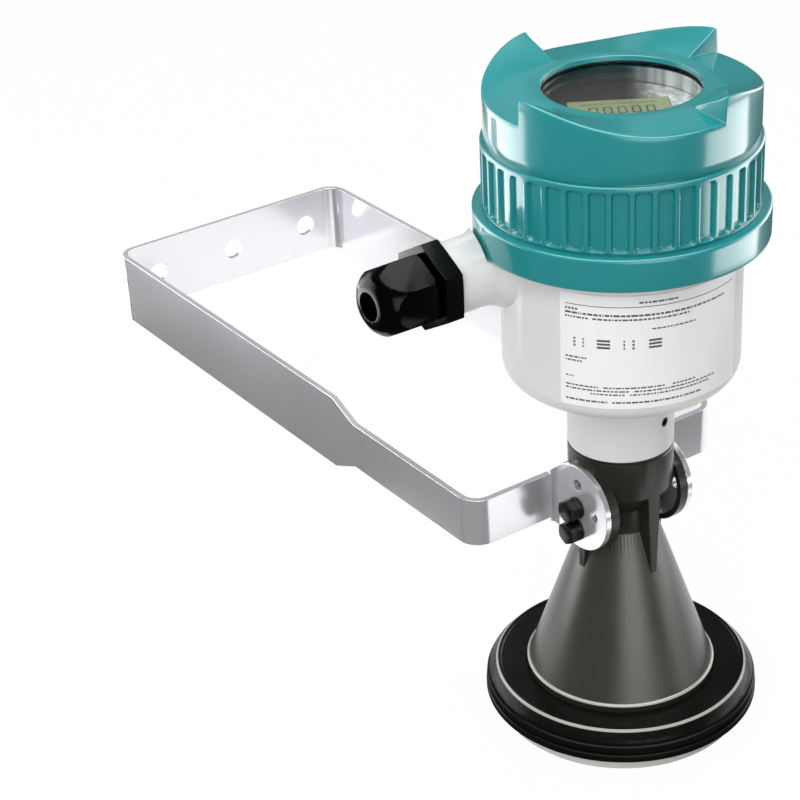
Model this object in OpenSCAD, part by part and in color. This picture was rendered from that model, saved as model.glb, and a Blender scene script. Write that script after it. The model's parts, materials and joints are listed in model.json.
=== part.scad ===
// Radar level transmitter with a plastic horn antenna, a swivelling head and a swinging mounting strap.
// Millimetres, +Z up. The lens stands on z = 0 and the antenna axis is the Z axis.
// The strap reaches out along -X at rest and swings about a Y axis through the antenna's throat.

/* [Lens and base ring] */
// Radius of the lens rim that the antenna stands on
lens_rim_r = 50.4; // [46:0.2:52]
// Height of the lens rim
lens_rim_h = 7; // [5:0.5:9]
// Height of the lens dome above its rim
lens_dome_h = 8; // [4:0.5:12]
// Height of the clamp ring
ring_h = 13; // [11:0.5:18]
// Largest radius of the clamp ring, over its ribs
ring_rib_r = 55.6; // [54:0.2:62]
// Depth of the two grooves between the ribs
ring_groove_d = 1.6; // [0.6:0.2:2.5]
// Radius of the clamp ring's top edge
ring_top_r = 51; // [48:0.2:53]
// Depth of the dished top face
ring_dish_d = 0.8; // [0.3:0.1:1.5]
// Section of the lens seal
lens_seal_t = 1.6; // [1:0.2:2.2]

/* [Horn antenna] */
// Radius of the horn's foot
foot_r = 38.4; // [34:0.2:40]
// How far the foot's bead stands above the clamp ring
foot_bead_h = 2.4; // [1:0.2:4]
// Radius of the foot's hidden flange
foot_flange_r = 44; // [42:0.2:46]
// Thickness of the foot's hidden flange
foot_flange_t = 3.5; // [2:0.5:5]
// Wall of the horn
horn_wall = 2.4; // [1.6:0.2:3.2]
// Outer radius of the throat above the cone
throat_r = 14.5; // [13.5:0.1:15.5]
// Height of the cone's upper end above the floor
cone_top_z = 88; // [82:0.5:90]
// Height of the straight throat
throat_h = 10; // [8:0.5:12]
// Outer radius of the collar and of the neck above it
collar_r = 20.8; // [20.2:0.1:24]
// Height of the collar's conical underside
collar_cone_h = 8.5; // [6:0.5:11]
// Height of the collar's straight part
collar_h = 16.5; // [14:0.5:22]
// Thickness of the gusset fins at their lower tips
fin_t = 2.4; // [1.4:0.2:3]
// Thickness of the gusset fins at the collar
fin_top_t = 6; // [3:0.2:7]
// Height of the lower end of the gusset fins above the floor
fin_low_z = 66.5; // [60:0.5:70]

/* [Lugs and pivot] */
// Height of the strap's pivot above the floor
pivot_z = 100.2; // [99:0.1:102]
// Outer radius of the lug's rim
lug_r = 18.2; // [16.5:0.1:18.5]
// Width of the lug's rim
lug_rim_w = 2.2; // [2:0.2:3.4]
// Thickness of the lug's rim
lug_t = 3.8; // [3.6:0.1:4.2]
// Radius of the hub round the pivot screw
hub_r = 6.6; // [5.6:0.1:6.8]
// Radius of the ring of index holes
index_r = 10; // [9.8:0.1:10.4]
// Highest swing of the strap, which the lug's window stops
swing_up = 35; // [20:1:40]
// Radius of the screws
screw_r = 2.1; // [2:0.1:2.6]
// Width across the flats of the screw heads
screw_af = 8.2; // [7:0.2:8.4]
// Height of the screw heads
screw_head_h = 5.4; // [2.5:0.1:6]
// Thickness of the washers
washer_t = 1; // [0.6:0.1:1.6]
// Width of the washers' rings
washer_w = 2.4; // [1.8:0.1:2.4]

/* [Mounting strap] */
// Reach from the pivot to the wall face
strap_l = 300; // [240:5:360]
// Width over the strap's legs
strap_w = 126; // [120:1:150]
// Thickness of the sheet
strap_t = 2.5; // [2:0.1:3]
// Height of the wide part
strap_h = 33; // [28:0.5:38]
// Height of the narrow part
strap_narrow_h = 20.2; // [16:0.2:21]
// Outer radius of the corner bends
strap_bend_r = 9; // [6:0.5:12]
// Distance of the inward legs from the pivot
strap_end_x = 13.4; // [12.8:0.1:14.5]
// Distance from the pivot where the taper starts
taper_in_x = 96; // [60:1:105]
// Distance from the pivot where the taper ends
taper_out_x = 111; // [107:1:150]
// Radius of the round end plates
plate_r = 18; // [17.6:0.1:20]
// Outer faces of the end plates, from the middle
plate_y = 22; // [21.9:0.1:24]
// Diameter of the wall holes
wall_hole_d = 10; // [6:0.5:12]
// Spacing of the outer wall holes
wall_hole_gap = 85; // [60:1:95]

/* [Housing] */
// Outer radius of the housing
body_r = 45.5; // [44.5:0.1:46.5]
// Height of the housing's underside above the floor
body_low_z = 154; // [150:0.5:158]
// Height of the housing's top shoulder above the floor
shoulder_z = 215.5; // [214.5:0.5:220]
// Radius of the rounded lower edge
body_round_r = 9; // [5:0.5:12]
// Wall of the housing
body_wall = 3; // [2:0.2:4]
// Thickness of the housing's floor
body_floor_t = 6; // [4:0.5:8]
// How far the shoulder under the lid stands out from the wall
shoulder_step = 6; // [5:0.1:6.5]
// How far the threaded collar for the lid stands out from the wall
thread_step = 1.1; // [0.6:0.1:1.6]
// Height of the threaded collar
thread_h = 20; // [14:0.5:22]
// Radius of the fillet between the housing and its neck
neck_fillet_r = 3; // [1:0.5:5]

/* [Cable entry] */
// Direction of the cable entry about Z
gland_turn = -90; // [-94:1:-84]
// Sideways distance of the cable entry's axis from the middle
gland_side = 20; // [17:0.5:21]
// Height of the cable entry's axis above the floor
gland_z = 205.5; // [204:0.5:207]
// Distance of the entry's face from the middle
entry_face = 69; // [67.5:0.5:76]
// Radius of the entry's rim
entry_r = 13.8; // [13:0.1:15]
// Radius of the entry where it meets the housing
entry_root_r = 21; // [20:0.5:22]
// Radius of the entry's bore
entry_bore_r = 9.8; // [8:0.1:10]
// Width across the flats of the gland's fixed hexagon
gland_af = 30; // [27:0.5:31]
// Length of the gland's fixed hexagon
gland_hex_l = 8; // [6:0.5:12]
// Width across the flats of the gland nut
nut_af = 25; // [24:0.5:27]
// Length of the nut's hexagon
nut_hex_l = 10; // [9:0.5:16]
// Length of the nut's dome
nut_dome_l = 12; // [8:0.5:14]
// Radius of the cable hole in the gland's seal
cable_hole_r = 5; // [3:0.2:6.4]

/* [Lid] */
// Wall of the lid's skirt
skirt_wall = 3.4; // [2.6:0.1:5]
// Height of the lid's skirt
skirt_h = 12.6; // [11:0.2:15]
// How far the skirt hangs below the housing's shoulder
skirt_drop = 2.2; // [1:0.1:3]
// Wall of the lid over the grip ribs
grip_wall = 4.7; // [4.2:0.1:5.2]
// Depth of the flutes between the ribs
flute_d = 1.5; // [0.8:0.1:1.6]
// Height of the flutes
flute_h = 22.5; // [16:0.5:23]
// Number of grip ribs
rib_n = 40; // [24:1:48]
// How far the plain upper wall stands back from the grip ribs
crown_step = 1.2; // [0.8:0.1:1.4]
// Width of a flute, as a share of the ribs' pitch
flute_share = 0.76; // [0.4:0.02:0.8]
// Height of the window ring above the shoulder
crown_h = 54.7; // [52:0.1:62]
// Rise of the four ramps above the window ring
ramp_rise = 7.6; // [4:0.2:12]
// Dip of the four ramps below the window ring
ramp_dip = 1.6; // [0.4:0.1:2]
// Width of the flat ring round the window
window_ring_w = 5.5; // [4:0.5:8]
// Thickness of the lid's top
lid_top_t = 8; // [7:0.5:9]

/* [Window and display] */
// Radius of the window opening
window_r = 29; // [26:0.2:30]
// Thickness of the lip that holds the glass
window_lip_t = 2; // [1.2:0.1:3]
// How far the glass reaches under the lip
glass_ledge = 3.6; // [2.5:0.1:4]
// Thickness of the glass
glass_t = 4; // [3:0.2:5]
// Depth of the display's face below the window ring
display_drop = 13; // [11.5:0.2:15]
// Width of the display panel
lcd_w = 37; // [28:0.5:40]
// Height of the display panel
lcd_h = 25; // [18:0.5:27]
// Direction that the display is read from, about Z
display_turn = -33; // [-45:1:-20]
// Radius of the display's keys
key_r = 3; // [2:0.1:3.4]
// Travel of the display's keys
key_travel = 0.8; // [0.5:0.1:1]

/* [Terminals] */
// Width of the terminal block
terminal_w = 22; // [16:0.5:24]
// Depth of the terminal block
terminal_d = 8; // [6:0.5:9]
// Height of the terminal block
terminal_h = 30; // [20:1:34]
// Radius of the terminal screws' wells
terminal_well_r = 1.5; // [1:0.1:1.8]

/* [Label] */
// Width of the label along the housing's wall
label_w = 74; // [40:1:90]
// Height of the label
label_h = 45.5; // [20:0.5:46]
// Direction of the label's middle about Z
label_turn = -22; // [-30:1:-10]

/* [Hidden] */
$fn = 96;

eps = 0.01;
fit = 0.3;            // clearance between round faces that don't bear on each other
run = 0.08;           // radial clearance of a turning fit

// Heights of the base
ring_z = lens_rim_h;
ring_top_z = ring_z + ring_h;

// Heights of the horn
collar_low_z = cone_top_z + throat_h;
collar_z = collar_low_z + collar_cone_h;
collar_top_z = collar_z + collar_h;
neck_seal_t = 1;
neck_low_z = collar_top_z + neck_seal_t;
neck_floor_z = body_low_z - 5;
tube_r = 15;
tube_bore_r = 10;
tube_low_z = collar_z + 2;
tube_top_z = neck_floor_z - 0.5;
throat_bore_r = throat_r - horn_wall;

// Lugs and the plates that bear on them
plate_in_y = plate_y - strap_t;
lug_y = plate_in_y - 0.1;
insert_r = screw_r + 1.2;
insert_l = 6.5;
screw_l = 8;
index_l = 3.6;
fin_reach = lug_y + 0.6;
washer_r = screw_r + washer_w;
bolt_half_angle = asin((screw_r + fit) / index_r);
window_from = -90 - swing_up - bolt_half_angle;
window_to = 46;

// Housing and cable entry
bore_r = body_r - body_wall;
shoulder_r = body_r + shoulder_step;
thread_r = body_r + thread_step;
skirt_r = shoulder_r + fit + skirt_wall;
flare_h = 4.5;
lid_low_z = shoulder_z - skirt_drop;
thread_top_z = shoulder_z + thread_h;
lid_clear_r = skirt_r + 1.2;
gland_gap = 1.5;
shank_l = 9.6;
passage_r = 5.5;
passage_drop = 3.5;
nut_face = entry_face + gland_hex_l + gland_gap;
gland_neck_r = nut_af / 2 - 2.2;
gland_bore_r = gland_neck_r - 3.1;
nut_mouth_r = 6.4;

// Lid
lid_seal_t = 0.6;
lid_bore_r = thread_r + fit;
rib_r = lid_bore_r + grip_wall;
crown_r = rib_r - crown_step;
flute_low_z = lid_low_z + skirt_h + 1;
rib_top_z = flute_low_z + flute_h + 2.2;
crown_z = shoulder_z + crown_h;
ramp_steps = 18;
ramp_share = 0.78;
ramp_bend = 0.8;
step_draft = 1.4;
first_step = 6;

// Window and display
glass_r = window_r + glass_ledge;
gasket_t = 0.8;
glass_top_z = crown_z - window_lip_t - gasket_t;
glass_low_z = glass_top_z - glass_t;
retainer_r = glass_r;
display_z = crown_z - display_drop;
retainer_low_z = display_z + 0.4;
display_r = window_r + 1;
display_t = 14;
insert_top_z = display_z - display_t;
terminal_gap = 2;
terminal_out = sqrt(bore_r * bore_r - terminal_w * terminal_w / 4) - terminal_gap;
terminal_in = terminal_out - terminal_d;
bay_w = terminal_w + 4 * terminal_gap;
bay_low_z = gland_z - terminal_h / 2 - 1;
key_pitch = 8.5;
key_y = -18.6;
key_proud = 1;

// Ring with a rectangular section
module tube(outer, inner, low, high) {
    translate([0, 0, low]) linear_extrude(high - low) difference() {
        circle(outer);
        circle(inner);
    }
}

// Solid of revolution from a list of [radius, height]
module turned(points) {
    rotate_extrude($fn = 144) polygon(points);
}

// Rod along Y from one distance to another
module rod_y(r, from, to) {
    translate([0, from, 0]) rotate([-90, 0, 0]) cylinder(r = r, h = to - from, $fn = 72);
}

// Puts a child at the pivot, once on each side; its own +Y points outward
module both_sides() {
    for (side = [0, 1]) mirror([0, side, 0]) translate([0, 0, pivot_z]) children();
}

// Turns a child so that its own +Y points the way that the cable entry does
module facing_entry() {
    translate([0, 0, gland_z]) rotate([0, 0, gland_turn - 90]) children();
}

// Puts a child on the axis of the cable entry; its own +Y points outward
module at_entry() {
    facing_entry() translate([gland_side, 0, 0]) children();
}

// Hexagon across its flats
module hexagon(af) {
    circle(r = af / sqrt(3), $fn = 6);
}

module hex_rod_y(af, from, to) {
    translate([0, from, 0]) rotate([-90, 30, 0]) linear_extrude(to - from) hexagon(af);
}

// Lens: a rim that the antenna stands on, and a dome inside the horn
module lens() {
    dome_r = foot_r - horn_wall - 1;
    ball_r = (dome_r * dome_r + lens_dome_h * lens_dome_h) / (2 * lens_dome_h);
    color([0.88, 0.88, 0.86]) difference() {
        union() {
            turned([[0, 0], [lens_rim_r - 0.6, 0], [lens_rim_r, 0.6], [lens_rim_r, lens_rim_h],
                    [0, lens_rim_h]]);
            intersection() {
                translate([0, 0, lens_rim_h + lens_dome_h - ball_r]) sphere(r = ball_r, $fn = 144);
                translate([0, 0, lens_rim_h - 1]) cylinder(r = dome_r, h = lens_dome_h + 2);
            }
        }
        tube(foot_flange_r - 1, foot_flange_r - 3.4, lens_rim_h - lens_seal_t, lens_rim_h + 1);
    }
}

module lens_seal() {
    color([0.1, 0.1, 0.1])
        tube(foot_flange_r - 1.2, foot_flange_r - 3.2, lens_rim_h - lens_seal_t, lens_rim_h);
}

// Clamp ring: a sloping upper wall over two more ribs, and a dished top face
module base_ring() {
    groove_r = ring_rib_r - ring_groove_d;
    top = ring_top_z;
    color([0.09, 0.09, 0.09]) turned([
        [foot_flange_r + fit, ring_z], [ring_rib_r - 0.6, ring_z], [ring_rib_r, ring_z + 0.6],
        [ring_rib_r, ring_z + 2.9], [ring_rib_r - 0.5, ring_z + 3.4], [groove_r, ring_z + 3.7],
        [groove_r, ring_z + 4.5], [ring_rib_r - 0.6, ring_z + 4.8], [ring_rib_r - 0.2, ring_z + 5.2],
        [ring_rib_r - 0.4, ring_z + 7.1], [ring_rib_r - 0.9, ring_z + 7.5],
        [groove_r - 0.3, ring_z + 7.7], [groove_r - 0.4, ring_z + 8.4],
        [ring_rib_r - 1.2, ring_z + 8.7], [ring_top_r, top - 0.5], [ring_top_r - 0.4, top],
        [ring_top_r - 1.4, top], [ring_top_r - 2, top - ring_dish_d],
        [foot_r + fit, top - ring_dish_d], [foot_r + fit, ring_z + foot_flange_t + 0.2],
        [foot_flange_r + fit, ring_z + foot_flange_t + 0.2]]);
}

// Outline of the horn's outer wall, and the same wall's inside
function horn_outside() = [
    [0, ring_z], [foot_flange_r, ring_z], [foot_flange_r, ring_z + foot_flange_t],
    [foot_r, ring_z + foot_flange_t], [foot_r, ring_top_z + foot_bead_h - 1],
    [foot_r - 0.4, ring_top_z + foot_bead_h - 0.3], [foot_r - 1.2, ring_top_z + foot_bead_h],
    [throat_r, cone_top_z], [throat_r, collar_low_z], [collar_r, collar_z],
    [collar_r, collar_top_z - 0.4], [collar_r - 0.4, collar_top_z], [0, collar_top_z]];

function horn_inside() = [
    [0, ring_z - 1], [foot_r - horn_wall, ring_z - 1], [foot_r - horn_wall, ring_top_z],
    [throat_bore_r, cone_top_z - 2], [throat_bore_r, tube_low_z], [tube_r + fit, tube_low_z],
    [tube_r + fit, collar_top_z + 1], [0, collar_top_z + 1]];

// Opening in the lug between hub and rim, where the index screw travels
module lug_window() {
    sweep = window_to - window_from;
    reach = 2 * lug_r;
    intersection() {
        difference() {
            circle(lug_r - lug_rim_w);
            circle(hub_r + fit);
        }
        polygon([[0, 0], for (i = [0:6]) reach * [cos(window_from + sweep * i / 6),
                                                  sin(window_from + sweep * i / 6)]]);
    }
}

// Extrudes a plan drawn in X and Z along Y
module face_y(from, to) {
    rotate([90, 0, 0]) mirror([0, 0, 1]) translate([0, 0, from]) linear_extrude(to - from) children();
}

// One lug: a round plate with a window, a hub for the pivot screw and a fin down to the cone
module lug() {
    root_y = throat_bore_r + 1;
    face_y(lug_y - lug_t, lug_y) circle(lug_r);
    rod_y(hub_r, root_y, lug_y);
    translate([0, 0, -pivot_z]) rotate([0, 0, 90]) fin(fin_reach, pivot_z - fin_low_z - hub_r + 2);
}

// Gusset fin towards +X: a wedge that grows thicker upwards
module fin(reach, height) {
    low = fin_t / 2;
    high = low + (fin_top_t - fin_t) / 2 * height / (collar_z - fin_low_z);
    translate([throat_bore_r + 1, 0, fin_low_z]) rotate([90, 0, 90]) linear_extrude(reach - throat_bore_r - 1)
        polygon([[-low, 0], [low, 0], [high, height], [-high, height]]);
}

// Horn antenna, moulded in one piece: foot, cone, throat, collar, fins and lugs
module horn() {
    color([0.13, 0.13, 0.12]) difference() {
        union() {
            turned(horn_outside());
            for (turn = [0, 180]) rotate([0, 0, turn]) fin(collar_r - 0.4, collar_z - fin_low_z + 2);
            both_sides() lug();
        }
        turned(horn_inside());
        both_sides() face_y(lug_y - lug_t - 0.4, lug_y + 1) lug_window();
        both_sides() rod_y(plate_r + 0.6, lug_y, lug_y + 6);
        both_sides() rod_y(insert_r, lug_y - insert_l, lug_y + 1);
    }
}

// Steel neck tube that carries the head and feeds the horn
module antenna_neck() {
    color([0.75, 0.75, 0.75]) difference() {
        tube(tube_r, tube_bore_r, tube_low_z, tube_top_z);
        turned([[tube_r - 0.8, neck_low_z + 10.5], [tube_r + 1, neck_low_z + 10.5],
                [tube_r + 1, neck_low_z + 16.5], [tube_r - 0.8, neck_low_z + 16.5]]);
    }
}

module neck_seal() {
    color([0.05, 0.05, 0.05]) tube(collar_r - 0.5, tube_r + fit, collar_top_z, neck_low_z);
}

module pivot_inserts() {
    color([0.75, 0.62, 0.35]) both_sides() difference() {
        rod_y(insert_r - 0.05, lug_y - insert_l, lug_y - 0.3);
        rod_y(screw_r + 0.1, lug_y - insert_l - 1, lug_y);
    }
}

// Hexagon head screw that points inward, with its seat at the given distance
module hex_screw(seat, length) {
    rod_y(screw_r, seat - length, seat);
    intersection() {
        hex_rod_y(screw_af, seat, seat + screw_head_h);
        translate([0, seat, 0]) rotate([-90, 0, 0]) rotate_extrude() polygon([
            [0, 0], [screw_af, 0], [screw_af, screw_head_h - 1.6], [screw_af / 2 - 0.5, screw_head_h],
            [0, screw_head_h]]);
    }
}

module washer_y() {
    difference() {
        rod_y(washer_r, plate_y, plate_y + washer_t);
        rod_y(screw_r + 0.2, plate_y - 1, plate_y + washer_t + 1);
    }
}

module pivot_washers() {
    color([0.2, 0.2, 0.2]) both_sides() washer_y();
}

module pivot_screws() {
    color([0.15, 0.15, 0.15]) both_sides() hex_screw(plate_y + washer_t, screw_l + washer_t);
}

module index_washers() {
    color([0.2, 0.2, 0.2]) both_sides() translate([0, 0, -index_r]) washer_y();
}

module index_screws() {
    color([0.15, 0.15, 0.15]) both_sides() translate([0, 0, -index_r])
        hex_screw(plate_y + washer_t, strap_t + washer_t + index_l);
}

// Rectangle between two X values, with round corners
module round_rect(from, to, width, r) {
    translate([from + r, -width / 2]) square([to - from - 2 * r, width]);
    translate([from, r - width / 2]) square([to - from, width - 2 * r]);
    for (x = [from + r, to - r], y = [r - width / 2, width / 2 - r]) translate([x, y]) circle(r);
}

// Plan of the strap's loop, open between its end plates
module strap_plan() {
    difference() {
        round_rect(-strap_l, -strap_end_x, strap_w, strap_bend_r);
        round_rect(strap_t - strap_l, -strap_end_x - strap_t, strap_w - 2 * strap_t,
                   strap_bend_r - strap_t);
        translate([-strap_end_x - 2 * strap_t, -plate_y - strap_t])
            square([3 * strap_t, 2 * (plate_y + strap_t)]);
    }
}

// Plan of one end plate with its bend; the bend's inner radius is one thickness
module plate_plan() {
    r = strap_t;
    translate([r - strap_end_x, plate_in_y]) square([plate_r + strap_end_x, strap_t]);
    translate([r - strap_end_x, plate_y + r]) difference() {
        intersection() {
            circle(r + strap_t);
            translate([-2 * r - strap_t, -2 * r - strap_t]) square(2 * r + strap_t);
        }
        circle(r);
    }
}

// Side view of the strap: wide at the wall, narrow at the horn
module strap_side() {
    wide = strap_h / 2;
    narrow = strap_narrow_h / 2;
    polygon([[-strap_l - 1, wide], [-taper_out_x, wide], [-taper_in_x, narrow], [0, narrow],
             [0, -narrow], [-taper_in_x, -narrow], [-taper_out_x, -wide], [-strap_l - 1, -wide]]);
}

// Mounting strap, bent from one strip of sheet
module mounting_strap() {
    color([0.78, 0.79, 0.8]) difference() {
        union() {
            intersection() {
                translate([0, 0, pivot_z - strap_h]) linear_extrude(2 * strap_h) strap_plan();
                translate([0, strap_w, pivot_z]) rotate([90, 0, 0]) linear_extrude(2 * strap_w) strap_side();
            }
            both_sides() intersection() {
                translate([0, 0, -strap_h]) linear_extrude(2 * strap_h) plate_plan();
                rod_y(plate_r, 0, plate_y + 2 * strap_t);
            }
        }
        both_sides() rod_y(screw_r + 0.3, plate_in_y - 1, plate_y + 1);
        both_sides() for (turn = [0, 90, 180]) rotate([0, turn, 0]) translate([0, 0, index_r])
            rod_y(screw_r + 0.15, plate_in_y - 1, plate_y + 1);
        for (y = [-wall_hole_gap / 2, 0, wall_hole_gap / 2])
            translate([-strap_l - 1, y, pivot_z]) rotate([0, 90, 0]) cylinder(d = wall_hole_d, h = strap_t + 2);
    }
}

// Outline of the housing: neck, round lower edge, wall and the shoulder under the lid
function housing_outside() = let (r = body_round_r, f = neck_fillet_r) [
    [0, neck_low_z], [collar_r - 0.5, neck_low_z], [collar_r, neck_low_z + 0.5],
    for (a = [0:15:90]) [collar_r + f * (1 - cos(a)), body_low_z - f + f * sin(a)],
    for (a = [0:10:90]) [body_r - r + r * sin(a), body_low_z + r - r * cos(a)],
    [body_r, lid_low_z - flare_h - 1], [shoulder_r, lid_low_z - 1], [shoulder_r, shoulder_z],
    [thread_r, shoulder_z], [thread_r, thread_top_z - 0.8], [thread_r - 0.8, thread_top_z],
    [0, thread_top_z]];

// Cable entry: a round boss that flares into the housing and stays clear of the lid
module entry_boss() {
    difference() {
        at_entry() rotate([-90, 0, 0]) turned([
            [0, body_r - 27], [entry_root_r, body_r - 27], [entry_root_r - 0.6, body_r - 18],
            [entry_r + 2.8, body_r], [entry_r + 0.8, body_r + 4.5], [entry_r, body_r + 8],
            [entry_r, entry_face - 0.8], [entry_r - 0.8, entry_face], [0, entry_face]]);
        translate([0, 0, lid_low_z - 0.6]) cylinder(r = lid_clear_r, h = 60);
    }
}

module housing() {
    floor_z = body_low_z + body_floor_t;
    color([0.86, 0.86, 0.85]) difference() {
        union() {
            turned(housing_outside());
            entry_boss();
        }
        translate([0, 0, floor_z]) cylinder(r = bore_r, h = 100);
        translate([0, 0, neck_low_z - 1]) cylinder(r = tube_r + run, h = neck_floor_z - neck_low_z + 1);
        translate([0, 0, neck_floor_z - 1]) cylinder(r = tube_bore_r - 4, h = floor_z - neck_floor_z + 2);
        at_entry() rod_y(entry_bore_r, entry_face - shank_l, entry_face + 1);
        at_entry() translate([0, 0, -passage_drop]) rod_y(passage_r, body_r - 20, entry_face - shank_l + 1);
        screw_hole();
    }
}

// Tapped hole of the locking screw, seen as a plain bore
module screw_hole(r = 2, from = tube_bore_r + 4, to = collar_r + 9) {
    translate([0, 0, neck_low_z + 13.5]) rotate([0, 0, 14]) rotate([0, 90, 0])
        translate([0, 0, from]) cylinder(r = r, h = to - from, $fn = 48);
}

module locking_screw() {
    color([0.05, 0.05, 0.05]) difference() {
        screw_hole(1.9, tube_r - 0.6, collar_r - 0.2);
        translate([0, 0, neck_low_z + 13.5]) rotate([0, 0, 14]) rotate([0, 90, 0])
            translate([0, 0, collar_r - 2]) linear_extrude(3) hexagon(2);
    }
}

// Label, a curved plate on the housing's wall with nothing printed on it
module type_label() {
    sweep = label_w / body_r * 180 / PI;
    top = lid_low_z - flare_h - 1.4;
    color([0.95, 0.95, 0.95]) translate([0, 0, top - label_h]) rotate([0, 0, label_turn - sweep / 2])
        rotate_extrude(angle = sweep, $fn = 180) translate([body_r + 0.02, 0]) square([0.28, label_h]);
}

// Gland body: a threaded shank in the entry, a fixed hexagon and a short neck
module gland_body() {
    color([0.04, 0.04, 0.04]) at_entry() difference() {
        union() {
            rod_y(entry_bore_r - 0.1, entry_face - shank_l, entry_face);
            intersection() {
                hex_rod_y(gland_af, entry_face, entry_face + gland_hex_l);
                rotate([-90, 0, 0]) turned([
                    [0, entry_face], [gland_af / 2 + 0.6, entry_face], [gland_af, entry_face + 2],
                    [gland_af, entry_face + gland_hex_l - 2],
                    [gland_af / 2 - 0.4, entry_face + gland_hex_l], [0, entry_face + gland_hex_l]]);
            }
            rod_y(gland_neck_r, entry_face + gland_hex_l - 1, nut_face + 5);
        }
        rod_y(gland_bore_r, entry_face - shank_l - 1, nut_face + 6);
    }
}

// Rubber seal round the cable's place
module gland_seal() {
    color([0.12, 0.12, 0.12]) at_entry() difference() {
        union() {
            rod_y(gland_bore_r - 0.1, nut_face - 6, nut_face + 5.2);
            rod_y(gland_neck_r - 0.4, nut_face + 5.2, nut_face + nut_hex_l + 1);
        }
        rod_y(cable_hole_r, nut_face - 7, nut_face + nut_hex_l + 2);
    }
}

// Gland nut: a hexagon that ends in a dome with a cable mouth
module gland_nut() {
    tip = nut_face + nut_hex_l + nut_dome_l;
    corner = nut_af / sqrt(3);
    dome = nut_dome_l;
    color([0.04, 0.04, 0.04]) at_entry() difference() {
        intersection() {
            hex_rod_y(nut_af, nut_face, tip);
            rotate([-90, 0, 0]) turned([
                [0, nut_face], [corner - 0.9, nut_face], [corner, nut_face + 1.2],
                [corner, nut_face + nut_hex_l - 1],
                for (a = [15:15:75]) [nut_mouth_r + (corner - nut_mouth_r) * cos(a),
                                      tip - dome + dome * sin(a)],
                [nut_mouth_r + 0.6, tip], [0, tip]]);
        }
        rod_y(gland_neck_r + fit, nut_face - 1, nut_face + nut_hex_l + 2);
        rod_y(nut_mouth_r - 0.8, nut_face, tip + 1);
    }
}

// Insert with the electronics, with a bay for the terminals on the entry's side
module electronics_insert() {
    color([0.1, 0.1, 0.11]) difference() {
        union() {
            translate([0, 0, body_low_z + body_floor_t]) cylinder(r = bore_r - fit, h = thread_top_z - body_low_z - body_floor_t - 4);
            translate([0, 0, thread_top_z - 5]) cylinder(r = display_r - 2, h = insert_top_z - thread_top_z + 5);
        }
        facing_entry() translate([-bay_w / 2, terminal_in, bay_low_z - gland_z])
            cube([bay_w, body_r, 2 * terminal_h]);
    }
}

module terminal_block() {
    pitch = terminal_w / 5;
    color([0.2, 0.35, 0.3]) facing_entry() translate([0, 0, bay_low_z - gland_z]) difference() {
        translate([-terminal_w / 2, terminal_in, 0]) cube([terminal_w, terminal_d, terminal_h]);
        for (i = [-1.5:1.5]) translate([i * pitch, terminal_in + terminal_d / 2, terminal_h - 6])
            cylinder(r = terminal_well_r, h = 7);
    }
}

// Puts a child in the display's frame, with the reader at -Y
module at_display() {
    rotate([0, 0, display_turn + 90]) children();
}

module display_frame() {
    color([0.06, 0.06, 0.06]) at_display() difference() {
        translate([0, 0, insert_top_z]) cylinder(r = display_r, h = display_t);
        translate([-lcd_w / 2 - 0.2, -lcd_h / 2 - 0.2, display_z - 1.6]) cube([lcd_w + 0.4, lcd_h + 0.4, 4]);
        for (i = [0:3]) key_place(i) translate([0, 0, display_z - 5]) cylinder(r = key_r + 0.3, h = 8);
    }
}

module display_panel() {
    color([0.6, 0.65, 0.5]) at_display()
        translate([-lcd_w / 2, -lcd_h / 2, display_z - 1.6]) cube([lcd_w, lcd_h, 1.2]);
}

module key_place(i) {
    translate([(i - 1.5) * key_pitch, key_y, 0]) children();
}

module key(i) {
    low = display_z - 5 + key_travel + 0.1;
    color([0.3, 0.3, 0.3]) at_display() key_place(i) {
        translate([0, 0, low]) cylinder(r = key_r, h = display_z + key_proud - low);
    }
}

module lid_seal() {
    color([0.05, 0.05, 0.05]) tube(thread_r + 2.6, thread_r + 0.1, shoulder_z, shoulder_z + lid_seal_t);
}

// Height of a ramp's outer edge at a share of its quarter turn: high, a smooth fall, then level
function ramp_z(share) = share > ramp_share ? -ramp_dip
    : -ramp_dip + (ramp_rise + ramp_dip) * (1 + cos(180 * pow(share / ramp_share, ramp_bend))) / 2;

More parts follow.
